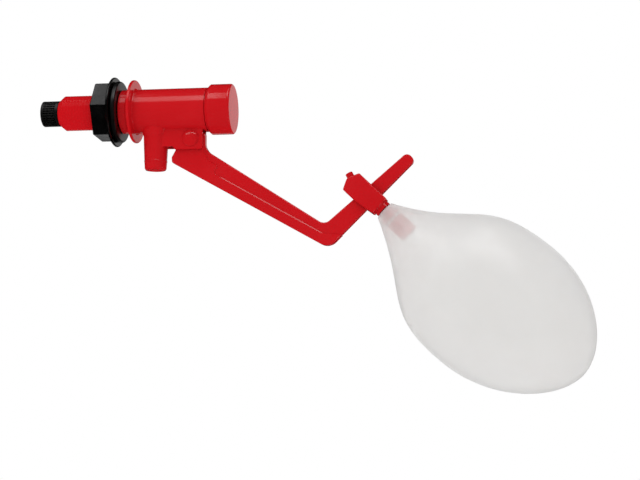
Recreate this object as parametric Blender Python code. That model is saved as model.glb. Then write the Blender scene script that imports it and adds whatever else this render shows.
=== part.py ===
"""Lever-operated float valve for a water tank, as separate pieces at real size.

The valve axis is X: the threaded inlet points to -X and the float hangs on the +X side.
+Z is up. The origin is on the valve axis, in the shoulder face that seats on the tank wall.
The lever is drawn with the valve fully open: the piston rests on the end cap.
"""
import math

import bmesh
import bpy
from mathutils import Matrix, Vector

MM = 0.001
GAP = 0.3 * MM                       # clearance between pieces that touch

# Driving dimensions, all in metres.
TAIL_R = 10.45 * MM                  # G1/2 male tail, over the thread crests
TAIL_END_X = -38.7 * MM
TAIL_END_R = 7.7 * MM
TAIL_CHAMFER = 3.3 * MM
INLET_BORE_R = 5.6 * MM

SHOULDER_R = 13.1 * MM
DISC_X = 6.7 * MM
DISC_THICKNESS = 1.8 * MM
DISC_R = 18.9 * MM
BARREL_R = 13.2 * MM
BARREL_BORE_R = 9.5 * MM
PARTITION_X = 9.5 * MM               # face of the wall that holds the seat nozzle
CAP_SEAM_X = 52.6 * MM
SPIGOT_R = 12.5 * MM
BARREL_END_X = 63.3 * MM

CAP_R = 15.0 * MM
CAP_END_X = 67.9 * MM
CAP_INNER_X = 63.8 * MM
CAP_CHAMFER = 2.0 * MM
CAP_EDGE_R = 1.1 * MM

NOZZLE_POCKET_R = 6.4 * MM
NOZZLE_POCKET_X = 4.0 * MM
NOZZLE_LIP_X = 11.8 * MM
ORIFICE_R = 2.2 * MM

SPOUT_X = 20.6 * MM
SPOUT_TOP_R = 7.8 * MM
SPOUT_END_R = 6.5 * MM
SPOUT_END_Z = -35.9 * MM
SPOUT_BORE_R = 4.5 * MM

CHEEK_INNER_Y = 3.5 * MM
CHEEK_OUTER_Y = 5.3 * MM
CHEEK_RIGHT_X = 50.2 * MM
CHEEK_BOTTOM_Z = -24.3 * MM
CHEEK_STEP_Z = -22.4 * MM
LEVER_GAP_X = 29.6 * MM
LEVER_GAP_TOP_Z = -13.0 * MM
FINGER_SLOT_X = (38.5 * MM, 51.0 * MM)
FINGER_SLOT_Z = (-20.0 * MM, -5.0 * MM)
SPOUT_ROOT_Z = -8.0 * MM             # inside the barrel's wall
CHEEK_ROOT_Z = -10.5 * MM            # inside the barrel's wall

PIVOT = Vector((42.8 * MM, 0.0, -17.7 * MM))
PIN_R = 1.9 * MM
PIN_HEAD_R = 4.9 * MM
PIN_HEAD_HEIGHT = 1.7 * MM
PIN_GROOVE_DEPTH = 0.5 * MM
PIN_GROOVE_Y = CHEEK_OUTER_Y + 0.5 * MM
CLIP_R = 3.9 * MM
CLIP_THICKNESS = 0.6 * MM
LEVER_SWING = math.radians(24.0)     # float down to float up
FINGER_REACH = 17.0 * MM             # pivot to the centre of the finger's round tip
FINGER_TIP_R = 3.4 * MM
FINGER_HALF_DEPTH = 2.6 * MM
HEAD_HALF_DEPTH = 3.2 * MM
ARM_HALF_DEPTH = 2.6 * MM

PISTON_R = 9.2 * MM
PISTON_TRAVEL = 2.0 * FINGER_REACH * math.sin(LEVER_SWING / 2.0)
SEAL_FACE_X = NOZZLE_LIP_X + 0.4 * MM + PISTON_TRAVEL
PISTON_END_X = CAP_INNER_X - GAP
PISTON_SLOT_HALF = 3.7 * MM
PISTON_NECK_R = 6.6 * MM
PISTON_NOSE_R = 5.0 * MM
PISTON_GROOVE_X = (34.0 * MM, 36.0 * MM)
SEAL_LIP_R = 3.8 * MM
RING_SECTION_R = 0.5 * MM            # thickness radius of every O-ring

NUT_ACROSS_FLATS = 31.5 * MM
NUT_TURN = math.radians(4.0)         # the front corner stands this far above the horizontal
NUT_X = (-15.5 * MM, -3.6 * MM)
NUT_FLANGE_THICKNESS = 1.6 * MM
NUT_FLANGE_R = 20.9 * MM
NUT_EDGE = 0.5 * MM
WASHER_X = (-3.3 * MM, -0.3 * MM)
WASHER_R = 18.4 * MM

STRAINER_R = 7.7 * MM
STRAINER_END_X = -49.6 * MM
STRAINER_RIBS = 32
STRAINER_WALL = 1.0 * MM
STRAINER_SPIGOT_END_X = -30.0 * MM
SCREEN_WALL = 0.4 * MM

CLAMP = Vector((149.6 * MM, 0.0, -54.4 * MM))   # where the clamp's axis crosses the arm
CLAMP_AXIS_DOWN = math.radians(43.5)            # the clamp's axis below the horizontal
BAR_UP = math.radians(41.9)                     # the arm's straight end above the horizontal
SCREW_LEAN = math.radians(17.5)                 # set screw against the clamp's own axis
SCREW_R = 2.2 * MM
SCREW_IN = 10.4 * MM                 # below the clamp's top, along the screw
SCREW_OUT = 3.0 * MM                 # above it
CLAMP_HALF_DEPTH = 6.4 * MM
CLAMP_BOTTOM_Z = -8.4 * MM
CLAMP_HOLE_Z = (-4.5 * MM, 5.8 * MM)
COLLAR_R = 5.6 * MM
COLLAR_SPIGOT_R = 4.9 * MM
COLLAR_PEG_R = 2.6 * MM

NECK_Z = -11.8 * MM                  # float mouth, along the clamp's axis from the arm
NECK_R = 6.0 * MM
FLOAT_R = 45.4 * MM
FLOAT_WIDEST = 83.8 * MM             # from the mouth
FLOAT_LENGTH = 146.7 * MM
FLOAT_WALL = 1.3 * MM
FLOAT_BEND = 0.065                   # slope of the body's axis against the neck's
FLOAT_BEND_FROM = 8.0 * MM
FLOAT_BEND_LENGTH = 27.0 * MM

ALONG_X = Matrix.Rotation(math.pi / 2.0, 4, "Y")     # turns a local +Z axis to +X
ALONG_Y = Matrix.Rotation(-math.pi / 2.0, 4, "X")    # turns a local +Z axis to +Y


# Scene, materials and mesh helpers

def start_clean():
    for obj in list(bpy.data.objects):
        bpy.data.objects.remove(obj, do_unlink=True)
    for mesh in list(bpy.data.meshes):
        bpy.data.meshes.remove(mesh)
    for mat in list(bpy.data.materials):
        bpy.data.materials.remove(mat)


def plastic(name, colour, roughness, metallic=0.0, alpha=1.0):
    """A Principled material; colour is linear RGB."""
    mat = bpy.data.materials.new(name)
    mat.use_nodes = True
    shader = mat.node_tree.nodes["Principled BSDF"]
    shader.inputs["Base Color"].default_value = (*colour, 1.0)
    shader.inputs["Roughness"].default_value = roughness
    shader.inputs["Metallic"].default_value = metallic
    shader.inputs["Alpha"].default_value = alpha
    mat.diffuse_color = (*colour, alpha)
    return mat


def solid(name, bm, look, parent=None, place=None):
    """Turns a bmesh into a named object with its material, placed under its parent."""
    bmesh.ops.remove_doubles(bm, verts=bm.verts, dist=1e-7)
    bmesh.ops.recalc_face_normals(bm, faces=bm.faces)
    mesh = bpy.data.meshes.new(name)
    bm.to_mesh(mesh)
    bm.free()
    mesh.shade_smooth()
    mesh.set_sharp_from_angle(angle=math.radians(35.0))
    mesh.materials.append(look)
    obj = bpy.data.objects.new(name, mesh)
    bpy.context.collection.objects.link(obj)
    obj.parent = parent
    obj.matrix_basis = place or Matrix()
    return obj


def empty(name, place):
    obj = bpy.data.objects.new(name, None)
    bpy.context.collection.objects.link(obj)
    obj.matrix_basis = place
    return obj


def turned(name, profile, look, segments=48, ring=False, parent=None, place=ALONG_X):
    """Revolves (along, radius) points about the local Z axis.

    An open profile starts and ends on the axis; a ring's profile closes on itself.
    """
    bm = bmesh.new()
    verts = [bm.verts.new((radius, 0.0, along)) for along, radius in profile]
    pairs = list(zip(verts, verts[1:]))
    if ring:
        pairs.append((verts[-1], verts[0]))
    edges = [bm.edges.new(pair) for pair in pairs]
    bmesh.ops.spin(bm, geom=verts + edges, cent=(0, 0, 0), axis=(0, 0, 1),
                   angle=2.0 * math.pi, steps=segments, use_merge=True)
    return solid(name, bm, look, parent, place)


def plate(name, outline, y_low, y_high, look, parent=None, place=None):
    """Extrudes an (x, z) outline from y_low to y_high."""
    bm = bmesh.new()
    face = bm.faces.new([bm.verts.new((x, y_low, z)) for x, z in outline])
    grown = bmesh.ops.extrude_face_region(bm, geom=[face])
    moved = [item for item in grown["geom"] if isinstance(item, bmesh.types.BMVert)]
    bmesh.ops.translate(bm, verts=moved, vec=(0.0, y_high - y_low, 0.0))
    return solid(name, bm, look, parent, place)


def block(name, low, high, look, parent=None, place=None):
    """A box between two corners."""
    outline = [(low[0], low[2]), (high[0], low[2]), (high[0], high[2]), (low[0], high[2])]
    return plate(name, outline, low[1], high[1], look, parent, place)


def rounded(corners, steps=5):
    """Outline through (x, z, radius) corners, each rounded by an arc of its radius."""
    points = []
    count = len(corners)
    for i, (x, z, radius) in enumerate(corners):
        here = Vector((x, z))
        before = (Vector(corners[i - 1][:2]) - here).normalized()
        after = (Vector(corners[(i + 1) % count][:2]) - here).normalized()
        if radius <= 0.0:
            points.append((x, z))
            continue
        half = before.angle(after) / 2.0
        middle = (before + after).normalized()
        centre = here + middle * (radius / math.sin(half))
        start = here + before * (radius / math.tan(half)) - centre
        end = here + after * (radius / math.tan(half)) - centre
        first = math.atan2(start.y, start.x)
        sweep = math.atan2(start.cross(end), start.dot(end))
        for step in range(steps + 1):
            angle = first + sweep * step / steps
            points.append((centre.x + radius * math.cos(angle),
                           centre.y + radius * math.sin(angle)))
    return points


def rounded_mm(corners, steps=5):
    return rounded([(x * MM, z * MM, r * MM) for x, z, r in corners], steps)


def arc_profile(along, radius, r, start, end, steps=4):
    """Points of an arc of radius r about (along, radius), between two angles in degrees."""
    angles = [math.radians(start + (end - start) * i / steps) for i in range(steps + 1)]
    return [(along + r * math.cos(a), radius + r * math.sin(a)) for a in angles]


def tool(obj):
    """Marks an object that only shapes another one."""
    obj.hide_render = True
    obj.display_type = "WIRE"
    return obj


def combine(target, other, operation):
    mod = target.modifiers.new(operation.lower() + "_" + other.name, "BOOLEAN")
    mod.operation = operation
    mod.object = tool(other)


def soften(obj, width, segments=2, angle=40.0):
    mod = obj.modifiers.new("rounded_edges", "BEVEL")
    mod.width = width
    mod.segments = segments
    mod.limit_method = "ANGLE"
    mod.angle_limit = math.radians(angle)
    mod.harden_normals = False


def seal_ring(name, centre_x, centre_r, look, parent=None, place=ALONG_X):
    """An O-ring with a six-sided section."""
    section = arc_profile(centre_x, centre_r, RING_SECTION_R, 0.0, 300.0, 5)
    return turned(name, section, look, 28, ring=True, parent=parent, place=place)


# Valve body and the pieces fixed to it

def make_valve_body(look):
    outside = [
        (TAIL_END_X, 0.0), (TAIL_END_X, TAIL_END_R),
        (TAIL_END_X + TAIL_CHAMFER, TAIL_R), (0.0, TAIL_R),
        (0.0, SHOULDER_R), (DISC_X, SHOULDER_R), (DISC_X, DISC_R),
        (DISC_X + DISC_THICKNESS, DISC_R), (DISC_X + DISC_THICKNESS, BARREL_R),
        (CAP_SEAM_X, BARREL_R), (CAP_SEAM_X, SPIGOT_R),
        (BARREL_END_X, SPIGOT_R), (BARREL_END_X, 0.0)]
    body = turned("valve_body", outside, look)
    combine(body, make_spout(look), "UNION")
    combine(body, make_cheeks(look), "UNION")
    past = 5.0 * MM
    bore = [
        (TAIL_END_X - past, 0.0), (TAIL_END_X - past, INLET_BORE_R),
        (NOZZLE_POCKET_X, INLET_BORE_R), (NOZZLE_POCKET_X, NOZZLE_POCKET_R),
        (PARTITION_X, NOZZLE_POCKET_R), (PARTITION_X, BARREL_BORE_R),
        (BARREL_END_X + past, BARREL_BORE_R), (BARREL_END_X + past, 0.0)]
    combine(body, turned("cut_main_bore", bore, look), "DIFFERENCE")
    drain = turned("cut_spout_bore", rod_profile(SPOUT_END_Z - past, 0.0, SPOUT_BORE_R), look, 36,
                   place=Matrix.Translation((SPOUT_X, 0.0, 0.0)))
    combine(body, drain, "DIFFERENCE")
    gap = block("cut_lever_gap", (LEVER_GAP_X, -CHEEK_INNER_Y, CHEEK_BOTTOM_Z - past),
                (CHEEK_RIGHT_X + past, CHEEK_INNER_Y, LEVER_GAP_TOP_Z), look)
    combine(body, gap, "DIFFERENCE")
    slot = block("cut_finger_slot", (FINGER_SLOT_X[0], -CHEEK_INNER_Y, FINGER_SLOT_Z[0]),
                 (FINGER_SLOT_X[1], CHEEK_INNER_Y, FINGER_SLOT_Z[1]), look)
    combine(body, slot, "DIFFERENCE")
    half_y = CHEEK_OUTER_Y + past
    hole = turned("cut_pivot_hole", rod_profile(-half_y, half_y, PIN_R + GAP), look, 24,
                  place=Matrix.Translation(PIVOT) @ ALONG_Y)
    combine(body, hole, "DIFFERENCE")
    return body


def rod_profile(start, end, radius):
    return [(start, 0.0), (start, radius), (end, radius), (end, 0.0)]


def make_spout(look):
    chamfer_r = 0.7 * MM
    chamfer_z = 1.5 * MM
    profile = [
        (SPOUT_END_Z, 0.0), (SPOUT_END_Z, SPOUT_END_R - chamfer_r),
        (SPOUT_END_Z + chamfer_z, SPOUT_END_R), (SPOUT_ROOT_Z, SPOUT_TOP_R), (SPOUT_ROOT_Z, 0.0)]
    return turned("add_spout", profile, look, 40, place=Matrix.Translation((SPOUT_X, 0.0, 0.0)))


def make_cheeks(look):
    """The block under the barrel that becomes two plates once the lever's gap is cut."""
    corner_r = 1.5 * MM
    step_x = (31.9 * MM, 33.6 * MM)
    outline = rounded([
        (SPOUT_X, CHEEK_ROOT_Z, 0.0), (SPOUT_X, CHEEK_STEP_Z, 0.0),
        (step_x[0], CHEEK_STEP_Z, 0.0), (step_x[1], CHEEK_BOTTOM_Z, 0.0),
        (CHEEK_RIGHT_X, CHEEK_BOTTOM_Z, corner_r), (CHEEK_RIGHT_X, CHEEK_ROOT_Z, 0.0)])
    return plate("add_cheeks", outline, -CHEEK_OUTER_Y, CHEEK_OUTER_Y, look)


def make_end_cap(look):
    left = CAP_SEAM_X + 0.4 * MM
    profile = [
        (CAP_INNER_X, 0.0), (CAP_INNER_X, SPIGOT_R + GAP), (left, SPIGOT_R + GAP),
        (left, CAP_R - CAP_CHAMFER + 0.2 * MM), (left + CAP_CHAMFER, CAP_R)]
    profile += arc_profile(CAP_END_X - CAP_EDGE_R, CAP_R - CAP_EDGE_R, CAP_EDGE_R, 90.0, 0.0, 3)
    profile.append((CAP_END_X, 0.0))
    return turned("end_cap", profile, look)


def make_seat_nozzle(look):
    """Replaceable nozzle: a stepped barrel with an O-ring groove, a flange and a raised lip."""
    back = NOZZLE_POCKET_X + GAP
    barrel = NOZZLE_POCKET_R - GAP
    funnel_r = 4.6 * MM
    groove = (5.6 * MM, 7.2 * MM)
    groove_r = 4.9 * MM
    flange = (PARTITION_X + GAP, PARTITION_X + GAP + 1.0 * MM)
    flange_r = 8.4 * MM
    profile = [
        (back, funnel_r), (back, barrel), (groove[0], barrel), (groove[0], groove_r),
        (groove[1], groove_r), (groove[1], barrel), (flange[0], barrel), (flange[0], flange_r),
        (flange[1], flange_r), (flange[1], ORIFICE_R + 2.0 * MM),
        (NOZZLE_LIP_X, ORIFICE_R + 0.8 * MM), (NOZZLE_LIP_X, ORIFICE_R),
        (NOZZLE_POCKET_X + 3.0 * MM, ORIFICE_R)]
    return turned("seat_nozzle", profile, look, 28, ring=True)


def make_pivot_pin(look):
    """Headed pin from the front, with a groove for its clip behind the rear cheek."""
    head_y = -CHEEK_OUTER_Y - GAP
    rim = 0.5 * MM
    dome = [(head_y - rim - (PIN_HEAD_HEIGHT - rim) * math.sin(a), PIN_HEAD_R * math.cos(a))
            for a in (1.2, 0.8, 0.4, 0.0)]
    groove_end = PIN_GROOVE_Y + CLIP_THICKNESS + 0.5 * MM
    end_y = groove_end + 1.1 * MM
    tip = 0.4 * MM
    shank = [
        (head_y, PIN_R), (PIN_GROOVE_Y, PIN_R), (PIN_GROOVE_Y, PIN_R - PIN_GROOVE_DEPTH),
        (groove_end, PIN_R - PIN_GROOVE_DEPTH), (groove_end, PIN_R),
        (end_y - tip, PIN_R), (end_y, PIN_R - tip), (end_y, 0.0)]
    profile = [(head_y - PIN_HEAD_HEIGHT, 0.0)] + dome + [(head_y, PIN_HEAD_R)] + shank
    return turned("pivot_pin", profile, look, 28, place=Matrix.Translation(PIVOT) @ ALONG_Y)


def make_pin_clip(look):
    """Open spring clip in the pin's groove, behind the rear cheek."""
    low = PIN_GROOVE_Y + 0.25 * MM
    inner = PIN_R - PIN_GROOVE_DEPTH / 2.0
    mouth = math.radians(40.0)
    steps = 20
    sweep = [mouth + (2.0 * math.pi - 2.0 * mouth) * i / steps for i in range(steps + 1)]
    outline = [(CLIP_R * math.sin(a), -CLIP_R * math.cos(a)) for a in sweep]
    outline += [(inner * math.sin(a), -inner * math.cos(a)) for a in reversed(sweep)]
    return plate("pin_clip", outline, low, low + CLIP_THICKNESS, look,
                 place=Matrix.Translation(PIVOT))


def make_wall_washer(look):
    left, right = WASHER_X
    edge = 0.9 * MM
    inner = TAIL_R + GAP
    profile = [(left, inner)]
    profile += arc_profile(left + edge, WASHER_R - edge, edge, 180.0, 90.0, 3)
    profile += arc_profile(right - edge, WASHER_R - edge, edge, 90.0, 0.0, 3)
    profile += [(right, inner)]
    return turned("wall_washer", profile, look, ring=True)


def make_backnut(look):
    left, right = NUT_X
    flange_left = right - NUT_FLANGE_THICKNESS
    corner_r = NUT_ACROSS_FLATS / math.sqrt(3.0)
    flange = [
        (flange_left - 0.3 * MM, 0.0), (flange_left, NUT_FLANGE_R - NUT_EDGE),
        (flange_left + NUT_EDGE, NUT_FLANGE_R), (right - NUT_EDGE, NUT_FLANGE_R),
        (right, NUT_FLANGE_R - NUT_EDGE), (right, 0.0)]
    nut = turned("backnut", flange, look)
    turn = Matrix.Rotation(-math.pi / 2.0 - NUT_TURN, 4, "X")
    hexagon = turned("add_nut_hexagon", rod_profile(left, flange_left + 0.2 * MM, corner_r), look, 6,
                     place=turn @ ALONG_X)
    past = 1.0 * MM
    clear_r = corner_r + 0.3 * MM
    cone_depth = 1.2 * MM
    cone = turned("cut_nut_corner_cone", [
        (left - past, 0.0), (left - past, corner_r - 1.2 * MM), (left + cone_depth, clear_r),
        (right + past, clear_r), (right + past, 0.0)], look)
    combine(hexagon, cone, "INTERSECT")
    combine(nut, hexagon, "UNION")
    bore = turned("cut_nut_bore", rod_profile(left - past, right + past, TAIL_R + GAP), look)
    combine(nut, bore, "DIFFERENCE")
    return nut


# Inlet strainer

def make_inlet_strainer(look):
    """Slotted basket with a closed end and a hollow spigot that plugs into the tail."""
    profile, slot = strainer_profile()
    sectors = 2 * STRAINER_RIBS
    bm = bmesh.new()
    rows = []
    for i in range(sectors):
        angle = 2.0 * math.pi * i / sectors
        rows.append([bm.verts.new((r * math.cos(angle), r * math.sin(angle), x))
                     for x, r in profile])
    for i in range(sectors):
        here, there = rows[i], rows[(i + 1) % sectors]
        is_slot = i % 2 == 1
        for j in range(len(profile) - 1):
            if is_slot and j in (slot[0], slot[2]):
                continue
            bm.faces.new((here[j], there[j], there[j + 1], here[j + 1]))
        if is_slot:
            line_slot(bm, [here[k] for k in slot], [there[k] for k in slot])
    return solid("inlet_strainer", bm, look, place=ALONG_X)


def strainer_profile():
    """Profile points, and which of them are a slot's corners: outer start, end, inner start, end."""
    wall_in = STRAINER_R - STRAINER_WALL
    ring_x = TAIL_END_X - GAP
    start = STRAINER_END_X + 2.0 * MM
    end = ring_x - 1.8 * MM
    step = 0.4 * MM
    spigot_r = INLET_BORE_R - GAP
    spigot_in = spigot_r - STRAINER_WALL
    points = [
        (STRAINER_END_X, 0.0), (STRAINER_END_X, STRAINER_R), (start, STRAINER_R),
        (end, STRAINER_R), (ring_x, STRAINER_R), (ring_x, spigot_r),
        (STRAINER_SPIGOT_END_X, spigot_r), (STRAINER_SPIGOT_END_X, spigot_in),
        (end + step, spigot_in), (end + step, wall_in), (end, wall_in), (start, wall_in),
        (start - step, wall_in), (start - step, 0.0)]
    return points, (2, 3, 10, 11)


def line_slot(bm, here, there):
    """The four side walls of one slot, between the two rows of corners beside it."""
    bm.faces.new(here)
    bm.faces.new(there)
    bm.faces.new((here[0], there[0], there[3], here[3]))
    bm.faces.new((here[1], there[1], there[2], here[2]))


def make_strainer_screen(look):
    """Fine mesh sleeve behind the basket's slots."""
    outer = STRAINER_R - STRAINER_WALL - 0.4 * MM
    inner = outer - SCREEN_WALL
    start = STRAINER_END_X + 1.9 * MM
    end = TAIL_END_X - GAP - 1.7 * MM
    profile = [(start, outer), (end, outer), (end, inner), (start, inner)]
    return turned("strainer_screen", profile, look, 28, ring=True)


# Piston set, moved by the lever's finger

def make_piston(look):
    """Nose for the seal, thin neck beside the outlet, and a guide with an O-ring groove."""
    nose_x = SEAL_FACE_X + 3.3 * MM
    neck_x = nose_x + 2.8 * MM
    guide_x = 31.5 * MM
    groove = PISTON_GROOVE_X
    groove_r = 7.9 * MM
    recess_x = 55.0 * MM
    recess_r = 6.2 * MM
    profile = [
        (nose_x, 0.0), (nose_x, PISTON_NOSE_R), (neck_x, PISTON_NOSE_R), (neck_x, PISTON_NECK_R),
        (guide_x, PISTON_NECK_R), (guide_x, PISTON_R), (groove[0], PISTON_R),
        (groove[0], groove_r), (groove[1], groove_r), (groove[1], PISTON_R),
        (PISTON_END_X, PISTON_R), (PISTON_END_X, recess_r), (recess_x, recess_r),
        (recess_x, 0.0)]
    piston = turned("piston", profile, look, 40)
    centre = PIVOT.x + FINGER_REACH * math.sin(LEVER_SWING / 2.0)
    half_y = FINGER_HALF_DEPTH + 0.4 * MM
    slot = block("cut_piston_slot", (centre - PISTON_SLOT_HALF, -half_y, -12.0 * MM),
                 (centre + PISTON_SLOT_HALF, half_y, 3.2 * MM), look)
    combine(piston, slot, "DIFFERENCE")
    return piston


def make_piston_seal(look):
    face = SEAL_FACE_X
    step = face + 1.4 * MM
    back = face + 3.0 * MM
    profile = [(face, 0.0), (face, SEAL_LIP_R), (step, SEAL_LIP_R), (step, PISTON_NOSE_R),
               (back, PISTON_NOSE_R), (back, 0.0)]
    return turned("piston_seal", profile, look, 28)


def make_seal_retainer(look):
    """Screwed cup that holds the seal on the piston's nose."""
    face = SEAL_FACE_X + GAP
    back = face + 5.4 * MM
    lip_back = face + 0.8 * MM
    lip_r = SEAL_LIP_R + GAP
    outer = PISTON_NECK_R
    inner = PISTON_NOSE_R + GAP
    chamfer = 0.5 * MM
    profile = [
        (face, lip_r), (face, outer - chamfer), (face + chamfer, outer), (back, outer),
        (back, inner), (lip_back, inner), (lip_back, lip_r)]
    return turned("seal_retainer", profile, look, 28, ring=True)


# Lever

def make_lever_arm(look, pivot):
    """Head between the cheeks, finger up into the piston, cranked arm with a straight end."""
    core_outline = rounded_mm([
        (33.5, -26.0, 0.0), (33.5, -32.7, 0.0), (125.5, -83.9, 11.0),
        (176.0, -33.6, 2.7), (171.5, -28.6, 3.2), (123.0, -70.2, 5.0), (51.2, -24.4, 15.6),
        (51.2, -15.6, 0.0)])
    lever = plate_at_pivot("lever_arm", core_outline, ARM_HALF_DEPTH, look, pivot)
    soften(lever, 0.7 * MM)
    rim_outline = rounded_mm([
        (36.6, -18.5, 0.0), (31.0, -28.6, 0.6), (31.2, -31.7, 1.8), (125.56, -84.1, 11.0),
        (133.5, -76.1, 0.0), (129.0, -76.0, 0.0), (121.1, -74.6, 8.0), (56.8, -38.6, 1.5),
        (59.6, -34.3, 1.2), (53.0, -30.6, 4.0), (51.0, -24.0, 6.0),
        (51.0, -14.8, 1.0), (47.0, -12.9, 2.0), (39.4, -12.9, 2.5)])
    rim = plate_at_pivot("add_lever_rim", rim_outline, HEAD_HALF_DEPTH, look, pivot)
    soften(rim, 0.5 * MM)
    combine(lever, rim, "UNION")
    combine(lever, make_finger(look, pivot), "UNION")
    half_y = 2.0 * HEAD_HALF_DEPTH
    hole = turned("cut_lever_pivot_hole", rod_profile(-half_y, half_y, PIN_R + GAP), look, 24,
                  parent=pivot, place=ALONG_Y)
    combine(lever, hole, "DIFFERENCE")
    return lever


def plate_at_pivot(name, outline, half_depth, look, pivot):
    """A plate given in valve coordinates, with its origin on the pivot."""
    local = [(x - PIVOT.x, z - PIVOT.z) for x, z in outline]
    return plate(name, local, -half_depth, half_depth, look, parent=pivot)


def make_finger(look, pivot):
    """Leans by half the swing, so that its tip moves evenly to both sides of upright."""
    half_width = 1.6 * MM
    side = math.asin(half_width / FINGER_TIP_R)
    steps = 12
    tip = []
    for i in range(steps + 1):
        angle = side + (2.0 * math.pi - 2.0 * side) * i / steps
        tip.append((-FINGER_TIP_R * math.sin(angle),
                    FINGER_REACH - FINGER_TIP_R * math.cos(angle)))
    outline = [(half_width, 0.0)] + tip[::-1] + [(-half_width, 0.0)]
    lean = Matrix.Rotation(LEVER_SWING / 2.0, 4, "Y")
    return plate("add_finger", outline, -FINGER_HALF_DEPTH, FINGER_HALF_DEPTH, look,
                 parent=pivot, place=lean)


# Float set, which slides along the arm's straight end

def clamp_place():
    """Local +Z runs up the clamp's axis, away from the float; local +X along the arm."""
    turn = Matrix.Rotation(-(math.pi / 2.0 - CLAMP_AXIS_DOWN), 4, "Y")
    return Matrix.Translation(CLAMP) @ turn


def make_float_clamp(look, frame):
    """Rounded block with a hole for the arm, a screw hole on top and a collar for the float."""
    bottom = CLAMP_BOTTOM_Z / MM
    outline = rounded_mm([
        (-7.7, 14.0, 1.0), (-7.7, 4.0, 6.0), (-6.5, -4.5, 2.0), (-6.0, bottom, 1.0),
        (5.7, bottom, 0.9), (5.8, 13.5, 1.0), (-1.0, 17.0, 4.0)], steps=3)
    clamp = plate("float_clamp", outline, -CLAMP_HALF_DEPTH, CLAMP_HALF_DEPTH, look, parent=frame)
    soften(clamp, 1.6 * MM, 3)
    combine(clamp, make_collar(look, frame), "UNION")
    past = 20.0 * MM
    half_y = ARM_HALF_DEPTH + GAP
    bar_lean = Matrix.Rotation(math.pi / 2.0 - CLAMP_AXIS_DOWN - BAR_UP, 4, "Y")
    bar_hole = block("cut_bar_hole", (-past, -half_y, CLAMP_HOLE_Z[0]),
                     (past, half_y, CLAMP_HOLE_Z[1]), look, parent=frame, place=bar_lean)
    combine(clamp, bar_hole, "DIFFERENCE")
    screw_hole = turned("cut_screw_hole", rod_profile(-13.0 * MM, 8.0 * MM, SCREW_R + GAP), look,
                        24, parent=frame, place=screw_place())
    combine(clamp, screw_hole, "DIFFERENCE")
    return clamp


def make_collar(look, frame):
    """Round foot under the clamp: it closes the float's mouth and its peg enters the plug."""
    root = CLAMP_BOTTOM_Z + 1.0 * MM
    shoulder = CLAMP_BOTTOM_Z - 0.4 * MM
    foot = NECK_Z + 0.6 * MM
    peg_end = foot - 9.0 * MM
    profile = [
        (root, 0.0), (root, COLLAR_R), (shoulder, COLLAR_R), (shoulder, COLLAR_SPIGOT_R),
        (foot, COLLAR_SPIGOT_R), (foot, COLLAR_PEG_R), (peg_end, COLLAR_PEG_R), (peg_end, 0.0)]
    return turned("add_clamp_collar", profile, look, 28, parent=frame, place=Matrix())


def screw_place():
    """Local +Z leaves the clamp along the set screw; the origin is where it leaves."""
    return Matrix.Translation((0.8 * MM, 0.0, 16.3 * MM)) @ Matrix.Rotation(SCREW_LEAN, 4, "Y")


def make_clamp_screw(look, frame):
    point = 0.6 * MM
    edge = 0.3 * MM
    profile = [
        (-SCREW_IN, 0.0), (-SCREW_IN, SCREW_R - point), (-SCREW_IN + point, SCREW_R),
        (SCREW_OUT - edge, SCREW_R), (SCREW_OUT, SCREW_R - edge), (SCREW_OUT, 0.0)]
    screw = turned("clamp_screw", profile, look, 24, parent=frame, place=screw_place())
    half_width = 0.4 * MM
    depth = 1.0 * MM
    slot = block("cut_screwdriver_slot", (-5.0 * MM, -half_width, SCREW_OUT - depth),
                 (5.0 * MM, half_width, SCREW_OUT + depth), look, parent=frame,
                 place=screw_place())
    combine(screw, slot, "DIFFERENCE")
    return screw


def below_mouth(profile):
    """Turns distances into the float from its mouth into local heights."""
    return [(NECK_Z - depth * MM, radius * MM) for depth, radius in profile]


def make_float_plug(look, frame):
    profile = below_mouth([
        (9.0, 0.0), (9.0, 2.9), (-0.3, 2.9), (-0.3, 4.4), (1.9, 4.4), (2.6, 5.6), (6.5, 5.7),
        (6.5, 4.9), (8.1, 4.9), (8.1, 5.7), (19.2, 5.7), (20.0, 4.9), (20.0, 0.0)])
    return turned("float_plug", profile, look, 28, parent=frame, place=Matrix())


def bezier(a, b, c, d, steps):
    """Points of a cubic curve, without its last one."""
    points = []
    for i in range(steps):
        t = i / steps
        weights = ((1 - t) ** 3, 3 * t * (1 - t) ** 2, 3 * t * t * (1 - t), t ** 3)
        points.append(tuple(sum(w * p[k] for w, p in zip(weights, (a, b, c, d)))
                            for k in (0, 1)))
    return points


def float_outline(inset, tip, steps):
    """(depth, radius) from the mouth to the far end, moved inwards by inset."""
    widest = (FLOAT_WIDEST, FLOAT_R - inset)
    neck = bezier((0.0, NECK_R - inset), (44.9 * MM, 27.8 * MM - inset),
                  (37.9 * MM, widest[1]), widest, steps)
    end = bezier(widest, (120.5 * MM, widest[1]), (tip, 19.5 * MM - inset), (tip, 0.0), steps)
    return neck + end + [(tip, 0.0)]


def make_float_shell(look, frame):
    """Hollow egg with a flared neck; its body is bent a little against the neck."""
    outer = float_outline(0.0, FLOAT_LENGTH, 12)
    inner = float_outline(FLOAT_WALL, FLOAT_LENGTH - FLOAT_WALL, 7)
    profile = [(NECK_Z - depth, radius) for depth, radius in inner[::-1] + outer]
    shell = turned("float_shell", profile, look, 40, parent=frame, place=Matrix())
    for vertex in shell.data.vertices:
        depth = NECK_Z - vertex.co.z
        inside = min(max(depth - FLOAT_BEND_FROM, 0.0), FLOAT_BEND_LENGTH)
        beyond = max(depth - FLOAT_BEND_FROM - FLOAT_BEND_LENGTH, 0.0)
        vertex.co.x += FLOAT_BEND * (inside ** 2 / (2.0 * FLOAT_BEND_LENGTH) + beyond)
    return shell


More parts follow.
